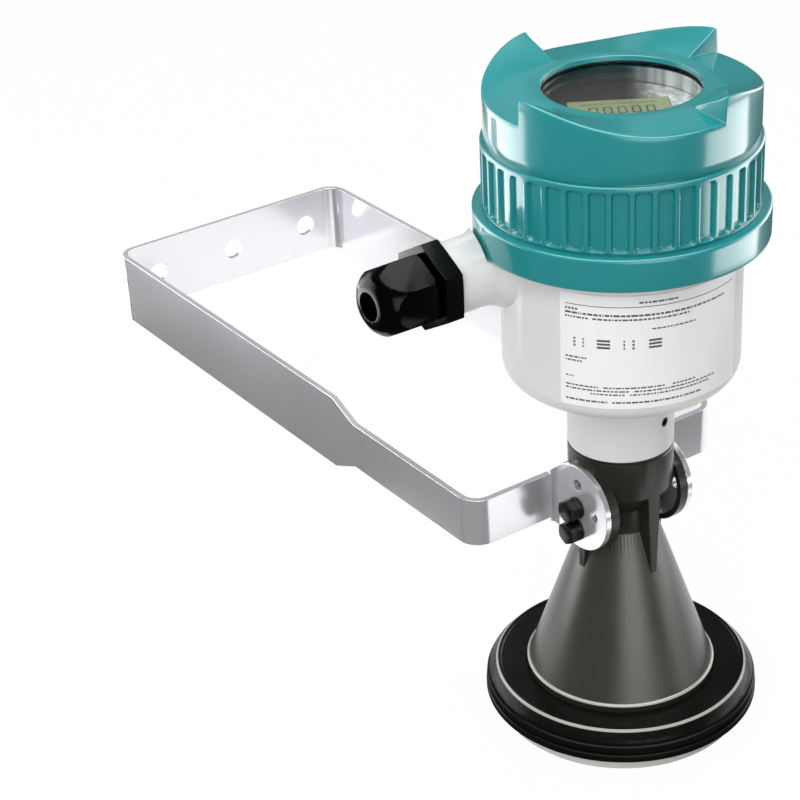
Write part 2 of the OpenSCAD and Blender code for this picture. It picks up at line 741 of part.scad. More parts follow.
// Top of the lid: a flat ring round the window, and four ramps that rise outward
module ramped_top() {
    low = -3.4;
    radii = [window_r - 3, window_r + window_ring_w, (window_r + window_ring_w + crown_r + 3) / 2, crown_r + 3];
    shares = [0, 0, 0.5, 1];
    span = (crown_r + 3 - window_r - window_ring_w) / (crown_r - window_r - window_ring_w);
    // Each ramp falls as the angle grows, and a drafted step leads up to the next
    angles = [for (q = [0:3]) for (i = [0:ramp_steps])
        first_step + 90 * q + (90 - step_draft) * i / ramp_steps];
    rises = [for (q = [0:3]) for (i = [0:ramp_steps]) ramp_z(i / ramp_steps)];
    n = len(angles);
    k = len(radii);
    top = [for (s = [0:n - 1]) for (j = [0:k - 1])
        [radii[j] * cos(angles[s]), radii[j] * sin(angles[s]), rises[s] * span * shares[j]]];
    bottom = [for (s = [0:n - 1]) for (j = [0, k - 1])
        [radii[j] * cos(angles[s]), radii[j] * sin(angles[s]), low]];
    b = n * k;
    faces = [for (s = [0:n - 1]) let (t = (s + 1) % n) each [
        for (j = [0:k - 2]) each [
            [s * k + j, t * k + j, t * k + j + 1],
            [s * k + j, t * k + j + 1, s * k + j + 1]],
        [b + 2 * s, b + 2 * s + 1, b + 2 * t + 1], [b + 2 * s, b + 2 * t + 1, b + 2 * t],
        [s * k, b + 2 * s, b + 2 * t], [s * k, b + 2 * t, t * k]],
        for (s = [0:n - 1]) let (t = (s + 1) % n) each [
            [s * k + k - 1, t * k + k - 1, b + 2 * t + 1], [s * k + k - 1, b + 2 * t + 1, b + 2 * s + 1]]];
    polyhedron(concat(top, bottom), faces, convexity = 8);
}

// Outline of the lid: skirt, groove, grip band, ledge and plain crown wall
function lid_outside() = [
    [0, lid_low_z], [skirt_r - 0.6, lid_low_z], [skirt_r, lid_low_z + 0.6],
    [skirt_r, lid_low_z + skirt_h - 1.2], [skirt_r - 1.2, lid_low_z + skirt_h],
    [rib_r - flute_d + 0.2, lid_low_z + skirt_h], [rib_r - flute_d, flute_low_z],
    [rib_r, flute_low_z + 0.4], [rib_r, rib_top_z - 0.8], [rib_r - 0.8, rib_top_z],
    [crown_r, rib_top_z], [crown_r, crown_z + ramp_rise + 2], [0, crown_z + ramp_rise + 2]];

// Flute between two grip ribs, with chamfered upper corners
module flute() {
    w = 2 * PI * rib_r / rib_n * flute_share;
    translate([rib_r - flute_d, 0, flute_low_z]) rotate([90, 0, 90]) linear_extrude(4) polygon([
        [-w / 2, -0.2], [w / 2, -0.2], [w / 2, flute_h - 1.5], [w / 2 - 1.3, flute_h],
        [1.3 - w / 2, flute_h], [-w / 2, flute_h - 1.5]]);
}

module lid() {
    top_low_z = crown_z - lid_top_t;
    color([0.11, 0.5, 0.51]) difference() {
        intersection() {
            turned(lid_outside());
            union() {
                translate([0, 0, lid_low_z - 1]) cylinder(r = skirt_r + 5, h = crown_z - 3 - lid_low_z + 1);
                translate([0, 0, crown_z]) ramped_top();
            }
        }
        for (i = [0:rib_n - 1]) rotate([0, 0, i * 360 / rib_n]) flute();
        turned([[0, lid_low_z - 1], [shoulder_r + fit, lid_low_z - 1],
                [shoulder_r + fit, shoulder_z + lid_seal_t], [lid_bore_r, shoulder_z + lid_seal_t],
                [lid_bore_r, top_low_z - 2], [lid_bore_r - 2, top_low_z], [glass_r + 0.2, top_low_z],
                [glass_r + 0.2, crown_z - window_lip_t], [window_r, crown_z - window_lip_t],
                [window_r, crown_z - 0.6], [window_r + 0.8, crown_z + 0.2],
                [window_r + 0.8, crown_z + 2 * ramp_rise], [0, crown_z + 2 * ramp_rise]]);
    }
}

module window_gasket() {
    color([0.03, 0.03, 0.03])
        tube(glass_r - 0.1, window_r + 0.2, glass_top_z, crown_z - window_lip_t);
}

module window_glass() {
    color([0.7, 0.85, 0.85, 0.4]) translate([0, 0, glass_low_z]) cylinder(r = glass_r - 0.1, h = glass_t);
}

// Sleeve that holds the glass and hides the gap round the display
module window_retainer() {
    color([0.06, 0.06, 0.06]) turned([
        [window_r + 0.2, retainer_low_z], [retainer_r + 0.1, retainer_low_z],
        [retainer_r + 0.1, glass_low_z], [window_r + 0.2, glass_low_z]]);
}

lens();
lens_seal();
base_ring();
horn();
antenna_neck();
neck_seal();
pivot_inserts();
pivot_washers();
pivot_screws();
mounting_strap();
index_washers();
index_screws();
housing();
locking_screw();
type_label();
gland_body();
gland_seal();
gland_nut();
electronics_insert();
terminal_block();
display_frame();
display_panel();
key(0);  // key_1
key(1);  // key_2
key(2);  // key_3
key(3);  // key_4
lid_seal();
lid();
window_gasket();
window_glass();
window_retainer();
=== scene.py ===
import bmesh
import bpy
import json
import math
from mathutils import Matrix, Vector


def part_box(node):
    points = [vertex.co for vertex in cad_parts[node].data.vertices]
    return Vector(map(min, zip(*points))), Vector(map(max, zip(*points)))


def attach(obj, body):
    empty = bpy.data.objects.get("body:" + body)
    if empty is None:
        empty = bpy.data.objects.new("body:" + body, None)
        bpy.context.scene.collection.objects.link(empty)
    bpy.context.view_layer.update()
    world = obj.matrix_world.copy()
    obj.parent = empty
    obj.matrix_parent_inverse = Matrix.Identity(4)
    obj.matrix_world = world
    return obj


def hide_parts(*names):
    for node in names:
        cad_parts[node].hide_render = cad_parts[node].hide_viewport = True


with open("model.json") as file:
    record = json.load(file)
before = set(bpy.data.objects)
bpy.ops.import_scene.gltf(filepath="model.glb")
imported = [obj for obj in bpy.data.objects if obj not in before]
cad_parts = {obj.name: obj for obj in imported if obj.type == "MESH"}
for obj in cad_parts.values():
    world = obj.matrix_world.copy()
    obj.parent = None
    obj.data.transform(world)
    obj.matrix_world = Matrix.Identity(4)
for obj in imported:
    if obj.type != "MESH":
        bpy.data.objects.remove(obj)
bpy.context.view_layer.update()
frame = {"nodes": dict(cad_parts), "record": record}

MM = 0.001
BODY_OF = {n: b for b, ns in frame["record"]["behaviour"]["bodies"].items() for n in ns}
SLOT_OF = {s["node"]: s["material_slot"] for s in frame["record"]["subparts"]}
lo, hi = {}, {}
for name in frame["nodes"]:
    lo[name], hi[name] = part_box(name)


# ---------------------------------------------------------------- camera
# Angles in degrees, places and distance in metres
CAMERA_AZIMUTH, CAMERA_ELEVATION, CAMERA_ROLL = 56.53, 28.834, -3.107
CAMERA_TARGET = Vector((-0.0471, -0.07125, 0.1457))
CAMERA_DISTANCE = 0.8273
SENSOR_MM, LENS_MM = 36, 96.35


def make_camera():
    cam = bpy.data.objects.new("camera", bpy.data.cameras.new("camera"))
    bpy.context.scene.collection.objects.link(cam)
    bpy.context.scene.camera = cam
    azimuth, elevation = math.radians(CAMERA_AZIMUTH), math.radians(CAMERA_ELEVATION)
    roll = math.radians(CAMERA_ROLL)
    back = Vector((math.sin(azimuth) * math.cos(elevation),
                   -math.cos(azimuth) * math.cos(elevation), math.sin(elevation)))
    right = Vector((math.cos(azimuth), math.sin(azimuth), 0))
    up = back.cross(right)
    x = math.cos(roll) * right + math.sin(roll) * up
    y = -math.sin(roll) * right + math.cos(roll) * up
    cam.rotation_mode = "QUATERNION"
    cam.rotation_quaternion = Matrix((x, y, back)).transposed().to_quaternion()
    cam.location = CAMERA_TARGET + back * CAMERA_DISTANCE
    cam.data.sensor_width = SENSOR_MM
    cam.data.lens = LENS_MM
    cam.data.clip_start, cam.data.clip_end = 0.05, 20


make_camera()


# ---------------------------------------------------------------- node helpers
class Tree:
    """Small helper that builds a node tree."""

    def __init__(self, owner):
        owner.use_nodes = True
        self.t = owner.node_tree
        self.t.nodes.clear()

    def node(self, kind, **values):
        n = self.t.nodes.new(kind)
        for key, value in values.items():
            n.inputs[key].default_value = value
        return n

    def link(self, a, b):
        self.t.links.new(a, b)

    def put(self, value, socket):
        """Links an output to a socket, or writes a constant on the socket itself."""
        if hasattr(value, "is_linked"):
            self.link(value, socket)
        else:
            socket.default_value = value

    def math(self, op, *values):
        n = self.t.nodes.new("ShaderNodeMath")
        n.operation = op
        for i, value in enumerate(values):
            self.put(value, n.inputs[i])
        return n.outputs[0]

    def mix(self, factor, a, b):
        """Mix of two colours; each is an output or three numbers."""
        n = self.t.nodes.new("ShaderNodeMix")
        n.data_type = "RGBA"
        self.put(factor, n.inputs[0])
        for i, value in ((6, a), (7, b)):
            self.put((*value, 1) if isinstance(value, list) else value, n.inputs[i])
        return n.outputs[2]

    def mix_shader(self, factor, a, b):
        n = self.t.nodes.new("ShaderNodeMixShader")
        for i, output in enumerate((factor, a, b)):
            self.link(output, n.inputs[i])
        return n.outputs[0]

    def ramp(self, value, low, high, out_low=0.0, out_high=1.0, kind="SMOOTHSTEP"):
        n = self.t.nodes.new("ShaderNodeMapRange")
        n.interpolation_type = kind
        self.link(value, n.inputs["Value"])
        for key, limit in (("From Min", low), ("From Max", high),
                           ("To Min", out_low), ("To Max", out_high)):
            n.inputs[key].default_value = limit
        return n.outputs["Result"]

    def noise(self, coords, scale, detail):
        n = self.node("ShaderNodeTexNoise", Scale=scale, Detail=detail, Roughness=0.5)
        self.link(coords, n.inputs["Vector"])
        return n.outputs["Fac"]

    def stretched(self, coords, scale):
        n = self.node("ShaderNodeMapping", Scale=scale)
        self.link(coords, n.inputs["Vector"])
        return n.outputs["Vector"]

    def object_coords(self):
        return self.node("ShaderNodeTexCoord").outputs["Object"]

    def split(self, vector):
        """The x, y and z outputs of a vector."""
        n = self.node("ShaderNodeSeparateXYZ")
        self.link(vector, n.inputs[0])
        return n.outputs

    def length(self, x, y):
        squares = self.math("MULTIPLY", x, x), self.math("MULTIPLY", y, y)
        return self.math("SQRT", self.math("ADD", *squares))


def display_color(r, g, b):
    """Linear values of a colour that is written as it shows, each from 0 to 255."""
    return [((c / 255 + 0.055) / 1.055) ** 2.4 if c > 10 else c / 255 / 12.92 for c in (r, g, b)]


# ---------------------------------------------------------------- materials
BEAD_H = 2.4                       # height of the bead round the horn's foot above the ring, mm
RING_TOP = hi["base_ring"].z
BEAD_TOP = RING_TOP + BEAD_H * MM
# Colour of the painted highlight lines on rims
RIM_HIGHLIGHT_COLOR = display_color(178, 178, 173)
# Painted highlight lines on rims: radius, height, and half widths along the radius and the
# height, in metres
BEAD_RIM_HIGHLIGHT = (38.2 * MM, BEAD_TOP - 0.4 * MM, 0.9 * MM, 0.7 * MM)
RING_RIM_HIGHLIGHT = (51.1 * MM, RING_TOP - 0.45 * MM, 0.7 * MM, 0.65 * MM)


def rim_highlight_mask(t, coords, radius, z, half_r, half_z):
    """1 on a turned edge at a radius and height, where a pale highlight line is painted."""
    x, y, height = t.split(coords)
    off_r = t.math("ABSOLUTE", t.math("SUBTRACT", t.length(x, y), radius))
    off_z = t.math("ABSOLUTE", t.math("SUBTRACT", height, z))
    return t.math("MULTIPLY", t.ramp(off_r, half_r, half_r * 0.6),
                  t.ramp(off_z, half_z, half_z * 0.5))


def surface(name, color, rough, metal=0.0, tint=0.06, rough_vary=0.06, blotch=18.0, grain=900.0,
            bump=0.02, bump_mm=0.05, coat=0.0, coat_rough=0.1, specular=0.5, brush=None,
            wear=0.0, cavity=0.0, rim_highlights=()):
    """A finish with blotches in its colour and gloss and a fine grain in its relief.

    Wear lightens edges and cavity darkens corners. Brush stretches the grain into strokes.
    """
    m = bpy.data.materials.new(name)
    t = Tree(m)
    out = t.node("ShaderNodeOutputMaterial")
    p = t.node("ShaderNodeBsdfPrincipled")
    t.link(p.outputs[0], out.inputs[0])
    p.inputs["Metallic"].default_value = metal
    p.inputs["Specular IOR Level"].default_value = specular
    p.inputs["Coat Weight"].default_value = coat
    p.inputs["Coat Roughness"].default_value = coat_rough
    coords = t.object_coords()
    big = t.noise(coords, blotch, 4.0)
    fine = t.noise(t.stretched(coords, brush) if brush else coords, grain, 2.0)
    dark = [c * (1 - tint) for c in color]
    light = [min(1.0, c * (1 + tint)) for c in color]
    shade = t.mix(t.ramp(big, 0.3, 0.7), dark, light)
    if wear or cavity:
        edge = t.node("ShaderNodeNewGeometry").outputs["Pointiness"]
        worn = [min(1.0, c * 1.7 + 0.05) for c in color]
        deep = [c * 0.35 for c in color]
        shade = t.mix(t.ramp(edge, 0.51, 0.6, 0.0, wear), shade, worn)
        shade = t.mix(t.ramp(edge, 0.41, 0.49, cavity, 0.0), shade, deep)
    # Painted highlights: pale lines on turned rims
    for rim_highlight in rim_highlights:
        shade = t.mix(rim_highlight_mask(t, coords, *rim_highlight), shade, RIM_HIGHLIGHT_COLOR)
    t.link(shade, p.inputs["Base Color"])
    mixed = t.math("ADD", t.math("MULTIPLY", big, 0.6), t.math("MULTIPLY", fine, 0.4))
    gloss_limits = max(0.02, rough - rough_vary), min(1.0, rough + rough_vary)
    t.link(t.ramp(mixed, 0.3, 0.7, *gloss_limits, "LINEAR"), p.inputs["Roughness"])
    relief = t.node("ShaderNodeBump", Strength=bump, Distance=bump_mm * MM)
    t.link(fine, relief.inputs["Height"])
    t.link(relief.outputs[0], p.inputs["Normal"])
    return m


def make_glass():
    m = bpy.data.materials.new("window_glass")
    t = Tree(m)
    out = t.node("ShaderNodeOutputMaterial")
    p = t.node("ShaderNodeBsdfPrincipled")
    p.inputs["Base Color"].default_value = (0.93, 0.97, 0.96, 1)
    p.inputs["Transmission Weight"].default_value = 1.0
    p.inputs["IOR"].default_value = 1.3
    haze = t.ramp(t.noise(t.object_coords(), 60, 4), 0.35, 0.75, 0.0, 0.05)
    t.link(haze, p.inputs["Roughness"])
    t.link(p.outputs[0], out.inputs[0])
    return m


SHEEN_TURN = math.radians(56.5)    # direction in which the display moulding turns silvery
SHEEN_FROM, SHEEN_TO = 0.004, 0.02


def make_display_moulding():
    """Dark display moulding with a silvery sheen on the side that faces the light."""
    m = bpy.data.materials.new("dark_display_moulding")
    t = Tree(m)
    out = t.node("ShaderNodeOutputMaterial")
    p = t.node("ShaderNodeBsdfPrincipled")
    coords = t.object_coords()
    x, y, _ = t.split(coords)
    across = t.math("ADD", t.math("MULTIPLY", x, math.cos(SHEEN_TURN)),
                    t.math("MULTIPLY", y, math.sin(SHEEN_TURN)))
    streaks = t.noise(t.stretched(coords, (1.0, 1.0, 0.05)), 300, 3)
    streak = t.ramp(streaks, 0.35, 0.65, 0.5, 1.0)
    sheen = t.math("MULTIPLY", t.ramp(across, SHEEN_FROM, SHEEN_TO), streak)
    color = t.mix(sheen, display_color(34, 30, 31), display_color(244, 244, 244))
    t.link(color, p.inputs["Base Color"])
    t.link(t.ramp(streak, 0.5, 1.0, 0.5, 0.35), p.inputs["Roughness"])
    p.inputs["Specular IOR Level"].default_value = 0.12
    t.link(p.outputs[0], out.inputs[0])
    return m


M = {
    "lid": surface("teal_powder_coat", display_color(24, 136, 139), 0.36, tint=0.05, coat=0.8,
                   coat_rough=0.07, bump=0.1, grain=1400, wear=0.5, cavity=0.6),
    "housing": surface("light_grey_powder_coat", display_color(226, 226, 224), 0.42, tint=0.02,
                       coat=0.2, coat_rough=0.2, bump=0.12, bump_mm=0.06, grain=1300),
    # The horn's collar, throat, fins and lugs: the cone's plastic painted darker, as shade where
    # they catch no sheen
    "horn": surface("horn_moulding_painted_darker", display_color(36, 34, 29), 0.33, tint=0.1, bump=0.05,
                    bump_mm=0.03, grain=1800, specular=0.45),
    "cone": surface("black_brown_moulding", display_color(56, 54, 48), 0.31, tint=0.08,
                    rough_vary=0.05, bump=0.05, bump_mm=0.03, grain=1800, blotch=30,
                    specular=0.8, rim_highlights=(BEAD_RIM_HIGHLIGHT,)),
    "ring": surface("satin_black_moulding", display_color(14, 13, 11), 0.27, tint=0.12,
                    bump=0.08, bump_mm=0.03, grain=2000, blotch=40, specular=0.1,
                    rim_highlights=(RING_RIM_HIGHLIGHT,)),
    "lens": surface("pale_lens_plastic", display_color(224, 224, 219), 0.5, tint=0.02, bump=0.05),
    "strap": surface("satin_sheet_steel", display_color(240, 241, 245), 0.2, metal=0.7,
                     tint=0.015, rough_vary=0.02, brush=(0.04, 0.04, 1.0), grain=2600,
                     bump=0.006, bump_mm=0.02, blotch=9),
    "gland": surface("gloss_black_plastic", display_color(2, 2, 2), 0.16, tint=0.2,
                     rough_vary=0.04, bump=0.06, grain=1500, specular=0.12),
    "screw": surface("black_coated_screw", display_color(16, 16, 16), 0.26, tint=0.2, metal=0.3,
                     bump=0.1),
    "washer": surface("black_coated_washer", display_color(22, 22, 22), 0.35, tint=0.15,
                      metal=0.3, bump=0.1),
    "seal": surface("black_rubber", display_color(18, 18, 18), 0.6, tint=0.15, bump=0.2,
                    grain=1200),
    "steel": surface("turned_steel", display_color(190, 190, 190), 0.3, metal=1.0,
                     brush=(0.05, 0.05, 1.0)),
    "insert": surface("turned_brass", display_color(190, 160, 90), 0.3, metal=1.0),
    "label": surface("label_film", display_color(246, 246, 246), 0.32, tint=0.012, grain=600),
    "print": surface("label_print", display_color(92, 92, 94), 0.5, tint=0.1),
    "insert_plastic": surface("matt_black_plastic", display_color(30, 30, 32), 0.55, tint=0.1,
                              bump=0.15),
    "terminal": surface("green_terminal_plastic", display_color(60, 110, 90), 0.5, tint=0.08),
    "lcd": surface("olive_display", display_color(150, 160, 118), 0.3, blotch=60),
    "ink": surface("display_segment", display_color(52, 58, 40), 0.35, tint=0.1),
    "key": surface("grey_key_rubber", display_color(92, 92, 94), 0.6, tint=0.08, bump=0.2),
    "glass": make_glass(),
    "display": make_display_moulding(),
}


def give(obj, material):
    obj.data.materials.clear()
    obj.data.materials.append(material)
    obj.data.polygons.foreach_set("material_index", [0] * len(obj.data.polygons))


for name, obj in frame["nodes"].items():
    give(obj, M[SLOT_OF[name]])


# ---------------------------------------------------------------- mesh helpers
def add_piece(name, bm, body, material, angle=None):
    """A piece from a mesh, smooth up to an angle in degrees, or smooth all over without one."""
    me = bpy.data.meshes.new(name)
    bm.normal_update()
    bm.to_mesh(me)
    bm.free()
    obj = bpy.data.objects.new(name, me)
    bpy.context.scene.collection.objects.link(obj)
    me.shade_smooth()
    if angle:
        me.set_sharp_from_angle(angle=math.radians(angle))
    give(obj, material)
    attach(obj, body)
    return obj


# Width of the rounded edges of each dressed node, in millimetres
ROUNDED = {
    "housing": 0.4, "horn": 0.35, "mounting_strap": 0.3, "gland_body": 0.5, "gland_nut": 0.5,
    "pivot_screws": 0.35, "index_screws": 0.35, "pivot_washers": 0.15, "index_washers": 0.15,
    "base_ring": 0.2, "display_frame": 0.3, "window_retainer": 0.2,
}
ROUNDED_FROM = 28.0                # edges sharper than this angle are rounded, degrees
SAME_POINT = 2e-6                  # metres
SAME_FACE = math.radians(0.4)


def dress(node):
    """A copy of a CAD node's form with rounded edges, which stands for the node."""
    bm = bmesh.new()
    bm.from_mesh(frame["nodes"][node].data)
    bmesh.ops.remove_doubles(bm, verts=bm.verts, dist=SAME_POINT)
    bmesh.ops.dissolve_limit(bm, angle_limit=SAME_FACE, verts=bm.verts, edges=bm.edges)
    slot = SLOT_OF[node]
    obj = add_piece(node + "_form", bm, BODY_OF[node], M[slot], ROUNDED_FROM)
    mod = obj.modifiers.new("round_edges", "BEVEL")
    mod.width = ROUNDED[node] * MM
    mod.segments = 2
    mod.limit_method = "ANGLE"
    mod.angle_limit = math.radians(ROUNDED_FROM)
    mod.use_clamp_overlap = True
    mod.harden_normals = True
    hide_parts(node)


def grid(bm, rows, closed=False):
    """Faces between rows of points in millimetres.

    Each row closes on itself. With closed, the last row joins the first.
    """
    vs = [[bm.verts.new(Vector(p) * MM) for p in row] for row in rows]
    nr, nc = len(vs), len(vs[0])
    for i in range(nr if closed else nr - 1):
        above = vs[(i + 1) % nr]
        for j in range(nc):
            k = (j + 1) % nc
            bm.faces.new((vs[i][j], vs[i][k], above[k], above[j]))
    return vs


def turn_rows(bm, rows, angles):
    """Closed surface from rows of radius and height, one pair to each angle in degrees."""
    ways = [(math.cos(math.radians(a)), math.sin(math.radians(a))) for a in angles]
    grid(bm, [[(r * c, r * s, z) for (r, z), (c, s) in zip(row, ways)] for row in rows],
         closed=True)
    bmesh.ops.recalc_face_normals(bm, faces=bm.faces)


# ---------------------------------------------------------------- lid
# Sizes in millimetres, angles in degrees, heights above the lid's lower edge if not said
RAMP_RISE = 7.6                    # a ramp's high end above the window ring
RAMP_DIP = 1.6                     # its low end below the ring
RAMP_SHARE = 0.78                  # share of its quarter over which it falls
RAMP_BEND = 0.8                    # below 1, it falls sooner
QUARTER = 90
STEPS = (6, 96, 186, 276)          # where the ramps drop to the next
STEP_W = 1.4
STEP_CLEAR = 0.95                  # no other column comes closer to a step's middle
SNAP = 1e-3
# A step's face: angle before its upper edge and share of its height
STEP_FACE = ((-STEP_W, 0.0), (-1.15, 0.01), (-1.0, 0.035), (-0.92, 0.09), (-0.5, 0.92),
             (-0.42, 0.965), (-0.25, 0.995), (0.0, 1.0))
RIBS = 40
RIB_IN = 3.6                       # ribs' face inside the skirt's
CROWN_IN = 1.2                     # crown's wall inside the ribs' face
FLUTE_DEPTH = 1.5
FLUTE_SHARE = 0.76                 # a flute's width as a share of the ribs' pitch
FLUTE_CORNER = 1.5
FLUTE_SLOPE = 0.6                  # width of a flute's side
FLUTE_LOW, FLUTE_HIGH = 13.9, 36.1
GROOVE_TOP, GROOVE_DEPTH = 13.3, 0.25
RING_R = 34.5                      # where the ramps' slope meets the window ring
INSIDE_R = 46.9
THREAD_IN = 3.4                    # bore of the skirt inside its outer face
# Places of the columns in one pitch, up to its middle
RIB_PLACES = (0, 0.06, 0.095, 0.115, 0.135, 0.155, 0.2, 0.32, 0.5)
# Distance inside the skirt's face, and height
SKIRT = ((3.1, 0.1), (2.9, 0), (0.7, 0), (0.42, 0.07), (0.175, 0.245), (0.035, 0.49), (0, 1.2),
         (0, 6), (0, 11.2), (0.055, 11.83), (0.275, 12.215), (0.66, 12.49), (1.1, 12.6),
         (3.0, 12.6), (3.9, 12.65), (4.1, 12.9))
BAND_HEIGHTS = (13.15, 13.4, 13.65, 13.9, 14.15, 14.4, 14.7, 15.1, 15.6, 17, 20, 24, 28, 31.5,
                33.6, 34.3, 34.8, 35.2, 35.55, 35.85, 36.1, 36.35, 36.6, 36.9)
# Distance inside the ribs' face, and height
CROWN = ((0, 37.3), (0.08, 37.7), (0.35, 38.05), (0.75, 38.25), (1.45, 38.3), (1.5, 38.6),
         (1.2, 39.1), (1.2, 43), (1.2, 48))
# Distance inside the crown's wall and depth below the ramp
CROWN_EDGE = ((0, 0.9), (0.06, 0.55), (0.24, 0.24), (0.55, 0.06), (0.95, 0))
TOP_RADII = (47.5, 44.5, 41.5, 38.5, 36.2, 35.2)
# Radius, and height above the window ring's face: the ring, its rounded rim and the inside
WINDOW_RING = ((34.4, 0), (32, 0), (29.6, 0), (29.35, -0.03), (29.15, -0.13), (29.04, -0.3),
               (29.0, -0.5), (29.0, -2), (32.8, -2), (32.8, -8), (44.9, -8), (INSIDE_R, -10))


def smooth(x):
    x = min(1.0, max(0.0, x))
    return x * x * (3 - 2 * x)


def wrapped(angle):
    """The same angle, between -180 and 180."""
    return (angle + 180) % 360 - 180


def lid_angles():
    """Columns: sixteen over each rib's pitch, with more at the four steps."""
    pitch = 360 / RIBS
    places = [*RIB_PLACES, *(1 - f for f in RIB_PLACES[1:-1])]
    angles = [(i + f) * pitch % 360 for i in range(RIBS) for f in places]
    angles = [a for a in angles
              if all(abs(wrapped(a - s + STEP_W / 2)) > STEP_CLEAR for s in STEPS)]
    angles += [(s + turn) % 360 for s in STEPS for turn, _ in STEP_FACE]
    return sorted(set(round(a, 4) for a in angles))


def lid_edge(angle):
    """Height of the crown's upper edge above the window ring."""
    for s in STEPS:
        turn = wrapped(angle - s)
        for (a0, h0), (a1, h1) in zip(STEP_FACE, STEP_FACE[1:]):
            if a0 - SNAP <= turn <= a1 + SNAP:
                share = h0 + (h1 - h0) * (turn - a0) / (a1 - a0)
                return -RAMP_DIP + (RAMP_RISE + RAMP_DIP) * share
    share = ((angle - STEPS[0]) % QUARTER) / (QUARTER - STEP_W)
    if share > RAMP_SHARE:
        return -RAMP_DIP
    wave = (1 + math.cos(math.pi * (share / RAMP_SHARE) ** RAMP_BEND)) / 2
    return -RAMP_DIP + (RAMP_RISE + RAMP_DIP) * wave


def band_radius(angle, z, r_rib):
    """Radius of the grip band, whose flutes have rounded corners and soft sides."""
    pitch = 360 / RIBS
    half_w = math.radians(pitch / 2 * FLUTE_SHARE) * r_rib
    half_h = (FLUTE_HIGH - FLUTE_LOW) / 2
    off = abs((angle / pitch) % 1.0 - 0.5) * math.radians(pitch) * r_rib
    dx = off - (half_w - FLUTE_CORNER)
    dz = abs(z - (FLUTE_LOW + FLUTE_HIGH) / 2) - (half_h - FLUTE_CORNER)
    out = math.hypot(max(dx, 0), max(dz, 0)) + min(max(dx, dz), 0) - FLUTE_CORNER
    return r_rib - FLUTE_DEPTH * smooth(-out / FLUTE_SLOPE + 0.5)


def build_lid():
    low, ring_z = lo["lid"].z / MM, hi["lid"].z / MM - RAMP_RISE
    r_skirt = hi["lid"].x / MM
    r_rib = r_skirt - RIB_IN
    r_crown = r_rib - CROWN_IN
    angles = lid_angles()
    edges = [lid_edge(a) for a in angles]

    def ring(r, z):
        return [(r, z)] * len(angles)

    rows = [ring(r_skirt - d, low + h) for d, h in SKIRT]
    for h in BAND_HEIGHTS:
        groove = GROOVE_DEPTH if h < GROOVE_TOP else 0
        rows.append([(band_radius(a, h, r_rib) - groove, low + h) for a in angles])
    rows += [ring(r_rib - d, low + h) for d, h in CROWN]
    rows.append([(r_crown, ring_z + min(e * 0.5 - 3, e - 2)) for e in edges])
    for d, drop in CROWN_EDGE:
        rows.append([(r_crown - d, ring_z + e - drop) for e in edges])
    for r in TOP_RADII:
        share = (r - RING_R) / (r_crown - RING_R)
        rows.append([(r, ring_z + e * share) for e in edges])
    rows += [ring(r, ring_z + h) for r, h in WINDOW_RING]
    rows += [ring(INSIDE_R, low + 2.8), ring(r_skirt - THREAD_IN, low + 2.8),
             ring(r_skirt - THREAD_IN, low + 0.4)]
    bm = bmesh.new()
    turn_rows(bm, rows, angles)
    lid = add_piece("lid_form", bm, "cover", M["lid"], 40)
    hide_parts("lid")


build_lid()

for node in ROUNDED:
    dress(node)


# ---------------------------------------------------------------- antenna skin
# Radius, and height above the bead's top, in millimetres
SKIN_FOOT = ((38.43, -1.0), (38.38, -0.75), (38.2, -0.45), (38.0, -0.26), (37.65, -0.08),
             (37.25, 0.03))
SKIN_LOW_R, SKIN_HIGH_R, SKIN_HIGH_Z = 37.23, 14.53, 87.9
SKIN_ROWS, SKIN_COLUMNS = 40, 240
SKIN_IN, SKIN_DOWN = 0.4, 0.2      # from the skin's outside to its inside


def build_horn_skin():
    """The cone's outside and the bead at its foot as one even turned surface."""
    top = BEAD_TOP / MM
    profile = [(r, top + h) for r, h in SKIN_FOOT]
    for i in range(1, SKIN_ROWS + 1):
        share = i / SKIN_ROWS
        profile.append((SKIN_LOW_R + (SKIN_HIGH_R - SKIN_LOW_R) * share,
                        top + (SKIN_HIGH_Z - top) * share))
    profile += [(r - SKIN_IN, z - SKIN_DOWN) for r, z in profile[::-1]]
    bm = bmesh.new()
    turn_rows(bm, [[place] * SKIN_COLUMNS for place in profile],
              [360 * i / SKIN_COLUMNS for i in range(SKIN_COLUMNS)])
    add_piece("horn_skin", bm, BODY_OF["horn"], M["cone"], 50)


build_horn_skin()


# ---------------------------------------------------------------- label and display
LABEL_R = 45.8                     # outer face of the label, mm
LABEL_FROM = -66.0                 # first edge of the print, degrees
LABEL_SWEEP = 87.0                 # width of the print, degrees
PRINT_T = 0.02                     # thickness of the print, mm
HEAD_LINE = (4.4, 0.3)             # depth below the label's top and height, mm
# Lines of generic print: depth below the label's top, height, longest word, spans in degrees
PRINT_LINES = (
    (2.9, 0.7, 2.4, ((34, 52),)),
    (6.4, 0.8, 2.0, ((0, 6),)),
    (8.0, 0.8, 2.6, ((0, 80),)),
    (9.6, 0.7, 2.0, ((0, 11), (13, 58))),
    (13.6, 0.6, 1.6, ((40, 62),)),
    (25.8, 0.7, 1.8, ((0, 11),)),
    (27.2, 0.6, 1.4, ((0, 8),)),
    (33.6, 0.5, 1.4, ((0, 4),)),
    (37.2, 0.6, 2.2, ((0, 16), (18, 46), (50, 62))),
    (38.6, 0.6, 2.2, ((0, 30), (32, 74))),
    (40.0, 0.6, 1.8, ((12, 28), (30, 70))),
    (43.2, 0.7, 2.4, ((0, 20), (22, 66))),
)
SHORTEST_WORD, WORD_GAP, LAST_WORD = 0.5, 0.5, 0.8
# Generic blocks of three equal lines: place and width in degrees
PRINT_BLOCKS = ((4, 5), (15, 6), (27, 5), (38.5, 6))
BLOCK_DEPTH, BLOCK_PITCH, BLOCK_LINE_H = 21.0, 1.4, 0.85


